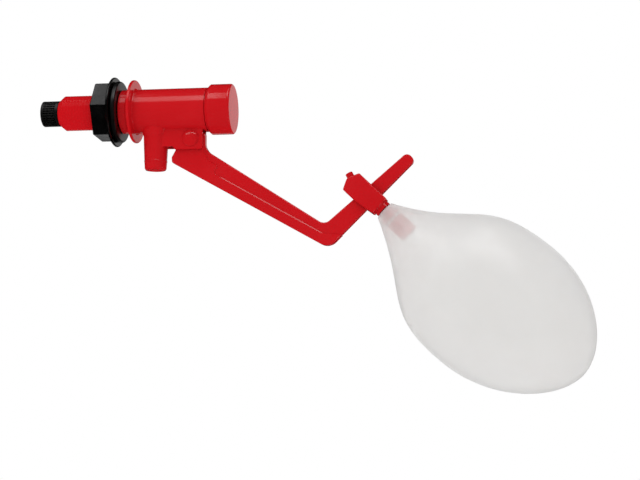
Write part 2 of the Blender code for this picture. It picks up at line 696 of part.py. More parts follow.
def main():
    start_clean()
    red = plastic("red_plastic", (0.565, 0.010, 0.013), 0.32)
    black = plastic("black_plastic", (0.012, 0.012, 0.013), 0.38)
    dark = plastic("strainer_plastic", (0.008, 0.008, 0.008), 0.5)
    mesh_grey = plastic("screen_mesh", (0.03, 0.03, 0.032), 0.55)
    rubber = plastic("black_rubber", (0.010, 0.011, 0.012), 0.6)
    silicone = plastic("pale_silicone", (0.70, 0.67, 0.64), 0.45)
    acetal = plastic("white_acetal", (0.75, 0.74, 0.71), 0.4)
    brass = plastic("brass", (0.61, 0.41, 0.14), 0.3, metallic=1.0)
    steel = plastic("stainless_steel", (0.55, 0.55, 0.56), 0.28, metallic=1.0)
    milky = plastic("translucent_float", (0.78, 0.76, 0.74), 0.45, alpha=0.8)

    make_valve_body(red)
    make_end_cap(red)
    make_seat_nozzle(brass)
    seal_ring("seat_nozzle_oring", 6.4 * MM, 5.65 * MM, rubber)
    make_pivot_pin(red)
    make_pin_clip(steel)
    make_wall_washer(rubber)
    make_backnut(black)
    make_inlet_strainer(dark)
    make_strainer_screen(mesh_grey)

    make_piston(acetal)
    make_piston_seal(rubber)
    make_seal_retainer(brass)
    seal_ring("piston_oring", sum(PISTON_GROOVE_X) / 2.0, 8.7 * MM, rubber)

    pivot = empty("lever_pivot", Matrix.Translation(PIVOT))
    make_lever_arm(red, pivot)

    frame = empty("clamp_frame", clamp_place())
    make_float_clamp(red, frame)
    make_clamp_screw(red, frame)
    make_float_plug(red, frame)
    seal_ring("plug_oring", NECK_Z - 7.3 * MM, 5.7 * MM, silicone, frame, Matrix())
    make_float_shell(milky, frame)


main()
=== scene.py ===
"""Looks of the lever-operated float valve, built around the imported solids.

The sizes of the pieces are in millimetres, and MM turns them into metres. Stage, lights and
camera are in metres. The valve axis is X, +Z is up, and the lever's pivot axis is Y.
"""
import math

import bmesh
import bpy
from mathutils import Matrix, Vector


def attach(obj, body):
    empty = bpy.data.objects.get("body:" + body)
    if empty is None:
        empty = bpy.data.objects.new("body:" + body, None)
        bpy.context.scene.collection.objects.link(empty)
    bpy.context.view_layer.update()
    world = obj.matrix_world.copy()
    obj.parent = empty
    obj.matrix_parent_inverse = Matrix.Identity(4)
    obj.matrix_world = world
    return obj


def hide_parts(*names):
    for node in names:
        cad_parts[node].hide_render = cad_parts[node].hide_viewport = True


MM = 0.001

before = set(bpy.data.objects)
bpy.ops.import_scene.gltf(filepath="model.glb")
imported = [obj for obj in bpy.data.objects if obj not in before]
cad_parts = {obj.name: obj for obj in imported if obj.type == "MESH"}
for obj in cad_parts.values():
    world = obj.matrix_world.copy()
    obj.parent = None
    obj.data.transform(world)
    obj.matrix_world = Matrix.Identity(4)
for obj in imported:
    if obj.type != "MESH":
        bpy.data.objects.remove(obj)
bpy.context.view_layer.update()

# Places and sizes shared by several pieces
GAP = 0.3

# Inlet tail and valve body
TAIL_R = 10.45
TAIL_END_X = -38.7
TAIL_RIGHT_X = -2.4
INLET_BORE_R = 5.6
THREAD_PITCH = 1.814
THREAD_DEPTH = 0.08
THREAD_FADE = 1.5
SHOULDER_R = 13.1
DISC_R = 18.9
DISC_RIGHT_X = 8.5
BARREL_R = 13.2
BARREL_BORE_R = 9.5
SPIGOT_R = 12.5
CAP_SEAM_X = 52.6
BARREL_END_X = 63.3
SPOUT_X = 20.6
SPOUT_END_Z = -35.9
SPOUT_BORE_R = 4.5
CHEEK_INNER_Y = 3.5
CHEEK_OUTER_Y = 5.3
CHEEK_TOP_Z = -10.5
CHEEK_RIGHT_X = 50.2
CHEEK_BOTTOM_Z = -24.3
CHEEK_STEP_Z = -22.4

# Lever and its pivot
PIVOT = (42.8, 0.0, -17.7)
PIN_R = 1.9
HEAD_HALF_DEPTH = 3.2
ARM_HALF_DEPTH = 2.6
FINGER_REACH = 17.0
FINGER_LEAN = math.radians(12.0)
BAR_UP = math.radians(41.9)

# Clamp and float. Their own frame starts at CLAMP, and its Z axis points away from the float.
CLAMP = (149.6, 0.0, -54.4)
CLAMP_AXIS_DOWN = math.radians(43.5)
CLAMP_HALF_DEPTH = 6.4
CLAMP_BOTTOM_Z = -8.4
SCREW_PLACE = (0.8, 0.0, 16.3)
SCREW_LEAN = math.radians(17.5)
SCREW_R = 2.2
NECK_Z = -11.8


def at(x, y, z):
    return Matrix.Translation((x * MM, y * MM, z * MM))


ALONG_X = Matrix.Rotation(math.pi / 2.0, 4, "Y")
ALONG_Y = Matrix.Rotation(-math.pi / 2.0, 4, "X")
UPRIGHT = Matrix()
AT_PIVOT = at(*PIVOT)
AT_SPOUT = at(SPOUT_X, 0.0, 0.0)
AT_CLAMP = at(*CLAMP) @ Matrix.Rotation(CLAMP_AXIS_DOWN - math.pi / 2.0, 4, "Y")
ON_SCREW = AT_CLAMP @ at(*SCREW_PLACE) @ Matrix.Rotation(SCREW_LEAN, 4, "Y")


# Materials

class Look:
    """A Principled material under construction; texture space is the object's own, in metres."""

    def __init__(self, name, roughness, colour=(0.5, 0.5, 0.5)):
        self.material = bpy.data.materials.new(name)
        self.material.use_nodes = True
        self.tree = self.material.node_tree
        self.shader = self.tree.nodes["Principled BSDF"]
        self.shader.inputs["Roughness"].default_value = roughness
        self.shader.inputs["Base Color"].default_value = (*colour, 1.0)
        self.space = self.tree.nodes.new("ShaderNodeTexCoord").outputs["Object"]

    def node(self, kind, **settings):
        node = self.tree.nodes.new(kind)
        for key, value in settings.items():
            setattr(node, key, value)
        return node

    def link(self, output, target):
        self.tree.links.new(output, target)

    def stretched(self, scale):
        mapping = self.node("ShaderNodeMapping")
        mapping.inputs["Scale"].default_value = scale
        self.link(self.space, mapping.inputs["Vector"])
        return mapping.outputs["Vector"]

    def noise(self, scale, detail=3.0, space=None):
        noise = self.node("ShaderNodeTexNoise")
        noise.inputs["Scale"].default_value = scale
        noise.inputs["Detail"].default_value = detail
        self.link(space or self.space, noise.inputs["Vector"])
        return noise.outputs["Fac"]

    def wave(self, direction, scale, distortion=0.0):
        wave = self.node("ShaderNodeTexWave", bands_direction=direction)
        wave.inputs["Scale"].default_value = scale
        wave.inputs["Distortion"].default_value = distortion
        self.link(self.space, wave.inputs["Vector"])
        return wave.outputs["Fac"]

    def spread(self, value, low, high, start=0.1, stop=0.9):
        """Goes from low (a number or an output) at start to high at stop."""
        span = self.node("ShaderNodeMapRange")
        span.inputs["From Min"].default_value = start
        span.inputs["From Max"].default_value = stop
        span.inputs["To Max"].default_value = high
        if isinstance(low, float):
            span.inputs["To Min"].default_value = low
        else:
            self.link(low, span.inputs["To Min"])
        self.link(value, span.inputs["Value"])
        return span.outputs["Result"]

    def along_x(self, start, stop, low, high):
        """Goes from low at start to high at stop, along the valve's axis."""
        axes = self.node("ShaderNodeSeparateXYZ")
        self.link(self.space, axes.inputs["Vector"])
        return self.spread(axes.outputs["X"], low, high, start, stop)

    def distance(self, point):
        """How far a place is from a point, in metres."""
        away = self.node("ShaderNodeVectorMath", operation="DISTANCE")
        away.inputs[1].default_value = point
        self.link(self.space, away.inputs[0])
        return away.outputs["Value"]

    def shades(self, value, *stops):
        """Base colours from (place, colour) stops, chosen by value."""
        ramp = self.node("ShaderNodeValToRGB")
        while len(ramp.color_ramp.elements) < len(stops):
            ramp.color_ramp.elements.new(0.5)
        for element, (place, colour) in zip(ramp.color_ramp.elements, stops):
            element.position = place
            element.color = (*colour, 1.0)
        self.link(value, ramp.inputs["Fac"])
        self.drive("Base Color", ramp.outputs["Color"])

    def set(self, socket, value):
        self.shader.inputs[socket].default_value = value

    def drive(self, socket, output):
        self.link(output, self.shader.inputs[socket])

    def bumps(self, *layers):
        """Each layer is (height, distance in millimetres, strength)."""
        normal = None
        for height, distance, strength in layers:
            bump = self.node("ShaderNodeBump")
            bump.inputs["Distance"].default_value = distance * MM
            bump.inputs["Strength"].default_value = strength
            self.link(height, bump.inputs["Height"])
            if normal:
                self.link(normal, bump.inputs["Normal"])
            normal = bump.outputs["Normal"]
        self.drive("Normal", normal)

    def scatter(self, weight, radii, scale):
        """Light that travels inside the plastic; scale is in millimetres."""
        self.set("Subsurface Weight", weight)
        self.set("Subsurface Radius", radii)
        self.set("Subsurface Scale", scale * MM)


def red_plastic():
    """Glossy on all mouldings, and duller on the threaded tail, which is left of the washer."""
    look = Look("moulded_red", 0.12)
    flow = look.noise(45.0, 4.0, look.stretched((0.6, 1.0, 1.0)))
    look.shades(flow, (0.32, (0.548, 0.0060, 0.0095)), (0.52, (0.572, 0.0070, 0.0110)),
                (0.72, (0.590, 0.0082, 0.0125)))
    look.drive("Roughness", look.spread(look.noise(60.0, 3.0), 0.09, 0.15))
    behind_washer = TAIL_RIGHT_X * MM
    look.drive("Specular IOR Level",
               look.along_x(behind_washer - 1.0 * MM, behind_washer, 0.06, 0.5))
    look.bumps((look.noise(110.0, 2.0), 0.10, 0.14), (look.noise(1500.0, 2.0), 0.01, 0.12))
    look.set("IOR", 1.47)
    return look.material


def black_plastic():
    look = Look("moulded_black", 0.3)
    look.shades(look.noise(120.0, 5.0), (0.3, (0.0014, 0.0014, 0.0015)),
                (0.75, (0.0035, 0.0035, 0.0037)))
    look.drive("Roughness", look.spread(look.noise(240.0, 4.0), 0.18, 0.30))
    look.bumps((look.noise(160.0, 3.0), 0.12, 0.2), (look.noise(1800.0, 3.0), 0.012, 0.3))
    look.set("IOR", 1.5)
    return look.material


def strainer_plastic():
    look = Look("strainer_plastic_look", 0.45)
    look.shades(look.noise(260.0, 4.0), (0.3, (0.0035, 0.0030, 0.0030)),
                (0.7, (0.0080, 0.0070, 0.0068)))
    look.drive("Roughness", look.spread(look.noise(600.0), 0.36, 0.55))
    look.bumps((look.noise(3000.0, 2.0), 0.015, 0.5))
    return look.material


def black_rubber():
    look = Look("black_rubber_look", 0.5)
    look.shades(look.noise(300.0, 5.0), (0.3, (0.0025, 0.0025, 0.0026)),
                (0.75, (0.0060, 0.0060, 0.0061)))
    look.drive("Roughness", look.spread(look.noise(300.0, 4.0), 0.26, 0.40))
    look.bumps((look.noise(1800.0, 4.0), 0.03, 0.6))
    look.set("IOR", 1.52)
    return look.material


def screen_mesh():
    """Fine woven cloth: threads along the axis and around it."""
    look = Look("screen_mesh_look", 0.6)
    weave = look.node("ShaderNodeMath", operation="MAXIMUM")
    for socket, direction in enumerate(("X", "Z")):
        look.link(look.wave(direction, 520.0), weave.inputs[socket])
    threads = weave.outputs["Value"]
    look.shades(threads, (0.45, (0.006, 0.006, 0.006)), (0.9, (0.055, 0.055, 0.058)))
    look.bumps((threads, 0.08, 0.8))
    return look.material


def pale_silicone():
    look = Look("pale_silicone_look", 0.4)
    look.shades(look.noise(150.0), (0.3, (0.90, 0.87, 0.84)), (0.7, (0.94, 0.91, 0.88)))
    look.drive("Roughness", look.spread(look.noise(400.0), 0.34, 0.5))
    look.bumps((look.noise(1500.0, 2.0), 0.02, 0.4))
    look.scatter(0.2, (1.0, 0.9, 0.8), 0.8)
    return look.material


def white_acetal():
    """Turned plastic, with fine rings around its axis."""
    look = Look("white_acetal_look", 0.38)
    look.shades(look.noise(90.0), (0.3, (0.70, 0.69, 0.655)), (0.7, (0.78, 0.775, 0.74)))
    look.drive("Roughness", look.spread(look.noise(400.0), 0.32, 0.46))
    look.bumps((look.wave("X", 900.0, 0.6), 0.01, 0.35))
    look.scatter(0.12, (1.0, 0.9, 0.7), 1.5)
    return look.material


def turned_metal(name, low, high, rough):
    look = Look(name + "_look", rough)
    look.shades(look.noise(140.0, 5.0), (0.3, low), (0.75, high))
    look.drive("Roughness", look.spread(look.noise(500.0, 4.0), rough - 0.07, rough + 0.1))
    look.bumps((look.wave("X", 1300.0, 1.2), 0.008, 0.4))
    look.set("Metallic", 1.0)
    return look.material


def milky_float():
    """Blow-moulded polyethylene: cloudy, clearer at the neck, and more opaque seen edge-on."""
    look = Look("milky_float", 0.3)
    look.shades(look.noise(16.0, 3.0), (0.30, (0.812, 0.800, 0.788)),
                (0.52, (0.828, 0.818, 0.808)), (0.75, (0.843, 0.836, 0.829)))
    look.drive("Roughness", look.spread(look.noise(120.0, 4.0), 0.26, 0.38))
    look.bumps((look.noise(38.0, 2.0), 0.5, 0.10), (look.noise(240.0, 2.0), 0.03, 0.15))
    facing = look.node("ShaderNodeLayerWeight")
    facing.inputs["Blend"].default_value = 0.5
    mouth = AT_CLAMP @ Vector((0.0, 0.0, NECK_Z * MM))
    clear = look.spread(look.distance(mouth), 0.26, 0.50, 21.0 * MM, 42.0 * MM)
    look.drive("Alpha", look.spread(facing.outputs["Facing"], clear, 0.88, 0.05, 0.95))
    look.scatter(0.3, (1.0, 0.95, 0.9), 3.0)
    look.set("IOR", 1.5)
    return look.material


def stage_white(name, white, glow):
    look = Look(name, 0.9, (white, white, white))
    look.set("Emission Color", (1.0, 1.0, 1.0, 1.0))
    look.set("Emission Strength", glow)
    look.set("Specular IOR Level", 0.0)
    return look.material


# Mesh helpers

def piece(name, bm, look, place=UPRIGHT):
    """A named mesh with its place baked in, so that its texture space is the valve's."""
    bmesh.ops.remove_doubles(bm, verts=bm.verts, dist=1e-8)
    bmesh.ops.recalc_face_normals(bm, faces=bm.faces)
    mesh = bpy.data.meshes.new(name)
    bm.to_mesh(mesh)
    bm.free()
    mesh.transform(place)
    mesh.materials.append(look)
    obj = bpy.data.objects.new(name, mesh)
    bpy.context.collection.objects.link(obj)
    finish_shading(obj)
    return obj


def finish_shading(obj, angle=32.0):
    obj.data.shade_smooth()
    obj.data.set_sharp_from_angle(angle=math.radians(angle))


def corner_arc(before, corner, after, radius, steps):
    """Points that round a corner between two neighbours by an arc."""
    here = Vector(corner)
    to_before = Vector(before) - here
    to_after = Vector(after) - here
    half = to_before.angle(to_after) / 2.0
    if radius <= 0.0 or half > math.radians(89.5):
        return [tuple(corner)]
    reach = min(radius / math.tan(half), 0.49 * to_before.length, 0.49 * to_after.length)
    radius = reach * math.tan(half)
    a, b = to_before.normalized(), to_after.normalized()
    centre = here + (a + b).normalized() * (radius / math.sin(half))
    start, end = here + a * reach - centre, here + b * reach - centre
    first = math.atan2(start.y, start.x)
    sweep = math.atan2(start.cross(end), start.dot(end))
    turns = [first + sweep * i / steps for i in range(steps + 1)]
    return [(centre.x + radius * math.cos(t), centre.y + radius * math.sin(t)) for t in turns]


def rounded(corners, steps=6, closed=True):
    """(a, b, radius) corners in millimetres to points in metres, with rounded corners."""
    points = []
    count = len(corners)
    for i, (a, b, radius) in enumerate(corners):
        if not closed and i in (0, count - 1):
            points.append((a * MM, b * MM))
            continue
        before = [v * MM for v in corners[i - 1][:2]]
        after = [v * MM for v in corners[(i + 1) % count][:2]]
        points += corner_arc(before, (a * MM, b * MM), after, radius * MM, steps)
    return points


def metres(points):
    """(a, b) points in millimetres to metres."""
    return [(a * MM, b * MM) for a, b in points]


def ring_angles(segments, seam=0.0):
    """Even angles; with a seam, extra ones close beside the two seam lines, 0 and pi."""
    angles = [2.0 * math.pi * i / segments for i in range(segments)]
    if seam:
        for middle in (0.0, math.pi):
            angles += [(middle - seam) % (2.0 * math.pi), middle + seam]
    return sorted(angles)


def turned(name, profile, look, place=ALONG_X, segments=96, ring=False, relief=None, seam=0.0):
    """Revolves (along, radius) points, in metres, about local Z.

    relief(along, radius, angle) gives a new radius, for threads and seam lines, in millimetres.
    """
    bm = bmesh.new()
    angles = ring_angles(segments, seam)
    rows = []
    for along, radius in profile:
        if radius < 1e-9:
            rows.append([bm.verts.new((0.0, 0.0, along))] * len(angles))
            continue
        row = []
        for angle in angles:
            r = relief(along / MM, radius / MM, angle) * MM if relief else radius
            row.append(bm.verts.new((r * math.cos(angle), r * math.sin(angle), along)))
        rows.append(row)
    pairs = list(zip(rows, rows[1:]))
    if ring:
        pairs.append((rows[-1], rows[0]))
    for low, high in pairs:
        for i in range(len(angles)):
            j = (i + 1) % len(angles)
            corners = dict.fromkeys((low[i], low[j], high[j], high[i]))
            if len(corners) > 2:
                bm.faces.new(list(corners))
    return piece(name, bm, look, place)


def plate(name, outline, y_low, y_high, look, place=UPRIGHT):
    """Extrudes an (x, z) outline, in metres, along Y, between two places in millimetres."""
    bm = bmesh.new()
    face = bm.faces.new([bm.verts.new((x, y_low * MM, z)) for x, z in outline])
    grown = bmesh.ops.extrude_face_region(bm, geom=[face])
    moved = [item for item in grown["geom"] if isinstance(item, bmesh.types.BMVert)]
    bmesh.ops.translate(bm, verts=moved, vec=(0.0, (y_high - y_low) * MM, 0.0))
    return piece(name, bm, look, place)


def block(name, low, high, look, place=UPRIGHT):
    """A box between two corners in millimetres."""
    outline = metres([(low[0], low[2]), (high[0], low[2]), (high[0], high[2]),
                      (low[0], high[2])])
    return plate(name, outline, low[1], high[1], look, place)


def rod(start, end, radius):
    return metres([(start, 0.0), (start, radius), (end, radius), (end, 0.0)])


def on_seam(angle):
    """Whether an angle of a turned piece is on one of its two seam lines."""
    return abs(math.sin(angle)) < 1e-6


def apply_modifiers(obj):
    graph = bpy.context.evaluated_depsgraph_get()
    mesh = bpy.data.meshes.new_from_object(obj.evaluated_get(graph))
    obj.modifiers.clear()
    old = obj.data
    obj.data = mesh
    bpy.data.meshes.remove(old)
    return obj


def soften(obj, width, segments=3, angle=35.0):
    """Rounds the edges that are sharper than an angle in degrees; width is in millimetres."""
    mod = obj.modifiers.new("rounded_edges", "BEVEL")
    mod.width = width * MM
    mod.segments = segments
    mod.limit_method = "ANGLE"
    mod.angle_limit = math.radians(angle)
    return apply_modifiers(obj)


def combine(target, *steps):
    """Adds or cuts other objects, in order, and removes them."""
    for operation, other in steps:
        mod = target.modifiers.new("shape", "BOOLEAN")
        mod.operation = operation
        mod.object = other
        apply_modifiers(target)
        bpy.data.objects.remove(other)
    finish_shading(target)
    return target


def even_normals(obj):
    """Keeps flat faces flat beside their rounded edges."""
    mod = obj.modifiers.new("even_normals", "WEIGHTED_NORMAL")
    mod.keep_sharp = True
    mod.weight = 70
    return obj


def stands_for(obj, node, body):
    """Moves with a body, and is shown in place of a CAD node."""
    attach(obj, body)
    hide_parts(node)
    return obj


# Valve body

def tail_thread(along, radius, angle):
    """A shallow thread that fades out at both ends of the tail, and the barrel's seam."""
    start, stop = TAIL_END_X + 3.6, TAIL_RIGHT_X
    if not start < along < stop:
        return radius + seam_ridge(along, radius, angle)
    phase = along / THREAD_PITCH - angle / (2.0 * math.pi)
    depth = THREAD_DEPTH * min((along - start) / THREAD_FADE, (stop - along) / THREAD_FADE, 1.0)
    return radius - depth * (0.5 - 0.5 * math.cos(2.0 * math.pi * phase)) ** 1.3


def seam_ridge(along, radius, angle):
    """Height of the mould's fine parting line, along the barrel's top and bottom."""
    on_barrel = DISC_RIGHT_X + 0.7 < along < CAP_SEAM_X - 0.3 and radius > BARREL_R - 0.2
    return 0.09 if on_barrel and on_seam(angle) else 0.0


def make_body_outside(red):
    first = rounded([
        (TAIL_END_X, 0.0, 0.0), (TAIL_END_X, 7.7, 0.35), (TAIL_END_X + 3.3, TAIL_R, 0.5),
        (TAIL_END_X + 3.8, TAIL_R, 0.0)], closed=False)
    steps = 170
    left = TAIL_END_X + 4.0
    thread = metres([(left + (TAIL_RIGHT_X - left) * i / steps, TAIL_R)
                     for i in range(steps + 1)])
    rest = rounded([
        (-2.2, TAIL_R, 0.0), (-1.9, 10.1, 0.2), (0.0, 10.1, 0.3), (0.0, SHOULDER_R, 0.6),
        (4.4, SHOULDER_R, 0.3), (4.8, 12.8, 0.3), (5.6, 12.8, 0.5), (6.7, 13.4, 0.6),
        (6.7, DISC_R, 0.6), (DISC_RIGHT_X, DISC_R, 0.6), (DISC_RIGHT_X, BARREL_R, 1.2),
        (CAP_SEAM_X - 0.1, BARREL_R, 0.3), (CAP_SEAM_X, SPIGOT_R, 0.1),
        (BARREL_END_X, SPIGOT_R, 0.3), (BARREL_END_X, 0.0, 0.0)], closed=False)
    return turned("valve_body_shell", first + thread + rest, red, segments=112,
                  relief=tail_thread, seam=0.009)


def make_spout(red):
    """A tapered pipe with a small bead near its end."""
    root_z = -8.0
    profile = rounded([
        (SPOUT_END_Z, 0.0, 0.0), (SPOUT_END_Z, 5.85, 0.25), (SPOUT_END_Z + 1.0, 6.5, 0.5),
        (-31.2, 6.72, 0.1), (-31.0, 6.9, 0.15), (-30.4, 6.9, 0.15), (-30.2, 6.78, 0.1),
        (-15.5, 7.45, 1.0), (-11.5, 8.9, 1.0), (root_z, 8.9, 0.0), (root_z, 0.0, 0.0)],
        closed=False)
    return turned("spout", profile, red, AT_SPOUT, 80)


def make_cheek_block(red):
    outline = rounded([
        (SPOUT_X, CHEEK_TOP_Z, 0.0), (SPOUT_X, CHEEK_STEP_Z, 0.0), (31.9, CHEEK_STEP_Z, 0.4),
        (33.6, CHEEK_BOTTOM_Z, 0.8), (CHEEK_RIGHT_X, CHEEK_BOTTOM_Z, 1.5),
        (CHEEK_RIGHT_X, CHEEK_TOP_Z, 0.0)])
    cheeks = plate("cheeks", outline, -CHEEK_OUTER_Y, CHEEK_OUTER_Y, red)
    return soften(cheeks, 0.45)


def make_valve_body(red):
    body = make_body_outside(red)
    past = 5.0
    seat_left, seat_right, seat_r = 4.0, 9.5, 6.4
    bore = turned("bore", metres([
        (TAIL_END_X - past, 0.0), (TAIL_END_X - past, INLET_BORE_R), (seat_left, INLET_BORE_R),
        (seat_left, seat_r), (seat_right, seat_r), (seat_right, BARREL_BORE_R),
        (BARREL_END_X + past, BARREL_BORE_R), (BARREL_END_X + past, 0.0)]), red, segments=72)
    drain = turned("drain", rod(SPOUT_END_Z - past, 0.0, SPOUT_BORE_R), red, AT_SPOUT, 56)
    lip = turned("lip", metres([
        (SPOUT_END_Z - 1.0, 0.0), (SPOUT_END_Z - 1.0, SPOUT_BORE_R + 1.6),
        (SPOUT_END_Z + 0.6, SPOUT_BORE_R), (SPOUT_END_Z + 0.6, 0.0)]), red, AT_SPOUT, 56)
    gap = block("gap", (29.6, -CHEEK_INNER_Y, CHEEK_BOTTOM_Z - past),
                (CHEEK_RIGHT_X + past, CHEEK_INNER_Y, -13.0), red)
    slot = block("slot", (38.5, -CHEEK_INNER_Y, -20.0), (51.0, CHEEK_INNER_Y, -5.0), red)
    hole = turned("hole", rod(-12.0, 12.0, PIN_R + GAP), red, AT_PIVOT @ ALONG_Y, 48)
    combine(body, ("UNION", make_spout(red)), ("UNION", make_cheek_block(red)),
            ("DIFFERENCE", bore), ("DIFFERENCE", drain), ("DIFFERENCE", lip),
            ("DIFFERENCE", gap), ("DIFFERENCE", slot), ("DIFFERENCE", hole))
    even_normals(body)
    stands_for(body, "valve_body", "valve")


def make_end_cap(red):
    left, right, cap_r, inner_r = 53.0, 67.9, 15.0, SPIGOT_R + GAP
    inner_end = BARREL_END_X + 0.5
    profile = rounded([
        (inner_end, 0.0, 0.0), (inner_end, inner_r, 0.2), (left, inner_r, 0.2),
        (left, BARREL_R, 0.2), (left + 1.9, cap_r, 0.5), (right, cap_r, 1.3),
        (right, 0.0, 0.0)], closed=False)
    cap = turned("end_cap_shell", profile, red)
    even_normals(cap)
    stands_for(cap, "end_cap", "valve")


def make_pivot_pin(red):
    """A domed head in front, and a groove for the clip near the other end."""
    head_front, dome_r, dome_angle, steps = -7.3, 7.95, 0.655, 16
    angles = [dome_angle * i / steps for i in range(steps + 1)]
    dome = [(head_front + dome_r * (1.0 - math.cos(angle)), dome_r * math.sin(angle), 0.0)
            for angle in angles]
    groove_r, groove_near, groove_far, end = 1.4, 5.8, 6.9, 8.0
    profile = rounded(dome + [
        (-5.6, 4.9, 0.0), (-5.6, PIN_R, 0.0), (groove_near, PIN_R, 0.1),
        (groove_near, groove_r, 0.0), (groove_far, groove_r, 0.0), (groove_far, PIN_R, 0.1),
        (end, PIN_R, 0.4), (end, 0.0, 0.0)], closed=False)
    pin = turned("pivot_pin_round", profile, red, AT_PIVOT @ ALONG_Y, 72)
    even_normals(pin)
    stands_for(pin, "pivot_pin", "valve")


def make_pin_clip(steel):
    """A flat ring that is open at the bottom and sits in the pin's groove."""
    outer, inner, mouth, steps = 3.9, PIN_R - 0.25, math.radians(40.0), 64
    sweep = [mouth + (2.0 * math.pi - 2.0 * mouth) * i / steps for i in range(steps + 1)]
    outline = [(outer * math.sin(a), -outer * math.cos(a)) for a in sweep]
    outline += [(inner * math.sin(a), -inner * math.cos(a)) for a in reversed(sweep)]
    clip = plate("pin_clip_plate", metres(outline), 6.05, 6.65, steel, AT_PIVOT)
    soften(clip, 0.12, 2)
    even_normals(clip)
    stands_for(clip, "pin_clip", "valve")


# Tank wall fixings and strainer

def make_wall_washer(rubber):
    left, right, bore_r, washer_r = -3.3, -0.3, TAIL_R + GAP, 18.4
    profile = rounded([
        (left, bore_r, 0.3), (left, washer_r, 1.1), (right, washer_r, 1.1), (right, bore_r, 0.3)])
    washer = turned("wall_washer_ring", profile, rubber, segments=112, ring=True)
    stands_for(washer, "wall_washer", "valve")


def make_backnut(black):
    """A round flange and a hexagon; a cone takes off the hexagon's corners on the left."""
    corner_r = 31.5 / math.sqrt(3.0)
    left, right, past = -15.5, -4.8, 1.5
    flange = rounded([
        (-5.5, 0.0, 0.0), (-5.2, 20.3, 0.3), (-4.7, 20.9, 0.5), (-4.1, 20.9, 0.5),
        (-3.6, 20.4, 0.4), (-3.6, 0.0, 0.0)], closed=False)
    nut = turned("backnut_body", flange, black, segments=112)
    turn = Matrix.Rotation(-math.pi / 2.0 - math.radians(4.0), 4, "X")
    hexagon = turned("hexagon", rod(left, right, corner_r), black, turn @ ALONG_X, 6)
    soften(hexagon, 0.45)
    cone = turned("cone", metres([
        (left - 1.0, 0.0), (left - 1.0, corner_r - 1.2), (left + 1.2, corner_r + 0.3),
        (-3.0, corner_r + 0.3), (-3.0, 0.0)]), black, segments=112)
    combine(hexagon, ("INTERSECT", cone))
    bore = turned("bore", rod(left - past, -2.0, TAIL_R + GAP), black, segments=96)
    lead_in = turned("lead_in", metres([
        (left - past, 0.0), (left - past, TAIL_R + 2.2), (left + 0.7, TAIL_R),
        (left + 0.7, 0.0)]), black, segments=96)
    combine(nut, ("UNION", hexagon), ("DIFFERENCE", bore), ("DIFFERENCE", lead_in))
    even_normals(nut)
    stands_for(nut, "backnut", "backnut")


def make_strainer(black):
    """Basket with rounded ribs, three hoops around it and a hollow spigot."""
    left, right, basket_r, core_r, inner_r = -49.6, -39.0, 7.7, 6.75, 6.55
    spigot_r, spigot_bore_r, spigot_end = 5.3, 4.3, -30.0
    slots_left, slots_right = left + 1.7, right - 1.6
    profile = rounded([
        (left, 0.0, 0.0), (left, basket_r, 0.5), (slots_left, basket_r, 0.0),
        (slots_left, core_r, 0.0), (slots_right, core_r, 0.0), (slots_right, basket_r, 0.0),
        (right, basket_r, 0.2), (right, spigot_r, 0.1), (spigot_end, spigot_r, 0.2),
        (spigot_end, spigot_bore_r, 0.2), (right - 0.9, spigot_bore_r, 0.0),
        (right - 0.9, inner_r, 0.0), (left + 1.2, inner_r, 0.0), (left + 1.2, 0.0, 0.0)],
        closed=False)
    basket = turned("strainer_basket", profile, black, segments=96)
    ribs = make_ribs(black)
    for index, x in enumerate((-46.3, -44.3, -42.3)):
        low, high, half = 6.7, 7.42, 0.16
        hoop = rounded([(x - half, low, 0.0), (x - half, high, 0.08), (x + half, high, 0.08),
                        (x + half, low, 0.0)], 2)
        ring = turned("strainer_hoop_%d" % index, hoop, black, segments=96, ring=True)
        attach(ring, "strainer")
    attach(ribs, "strainer")
    even_normals(basket)
    stands_for(basket, "inlet_strainer", "strainer")


def make_ribs(black):
    count = 32
    bm = bmesh.new()
    for i in range(count):
        add_rib(bm, 2.0 * math.pi * (i + 0.25) / count, -48.2 * MM, -40.3 * MM)
    ribs = piece("strainer_ribs", bm, black)
    return soften(ribs, 0.14, 2)


def add_rib(bm, angle, start, end):
    half, low, high = 0.36 * MM, 6.65 * MM, 7.68 * MM
    out = Vector((0.0, math.cos(angle), math.sin(angle)))
    side = Vector((0.0, -math.sin(angle), math.cos(angle)))
    loops = []
    for x in (start, end):
        corners = [(low, -half), (high, -half), (high, half), (low, half)]
        loops.append([bm.verts.new(out * r + side * s + Vector((x, 0.0, 0.0)))
                      for r, s in corners])
    near, far = loops
    bm.faces.new(near)
    bm.faces.new(far)
    for i in range(4):
        j = (i + 1) % 4
        bm.faces.new((near[i], near[j], far[j], far[i]))


# Lever

def make_finger(red):
    """A slim finger with a round tip, which pushes the piston."""
    half_width, tip_r, steps = 1.6, 3.4, 36
    side = math.asin(half_width / tip_r)
    angles = [side + (2.0 * math.pi - 2.0 * side) * i / steps for i in range(steps + 1)]
    tip = [(-tip_r * math.sin(angle), FINGER_REACH - tip_r * math.cos(angle))
           for angle in reversed(angles)]
    outline = metres([(half_width, 0.0)] + tip + [(-half_width, 0.0)])
    place = AT_PIVOT @ Matrix.Rotation(FINGER_LEAN, 4, "Y")
    return plate("finger", outline, -ARM_HALF_DEPTH, ARM_HALF_DEPTH, red, place)


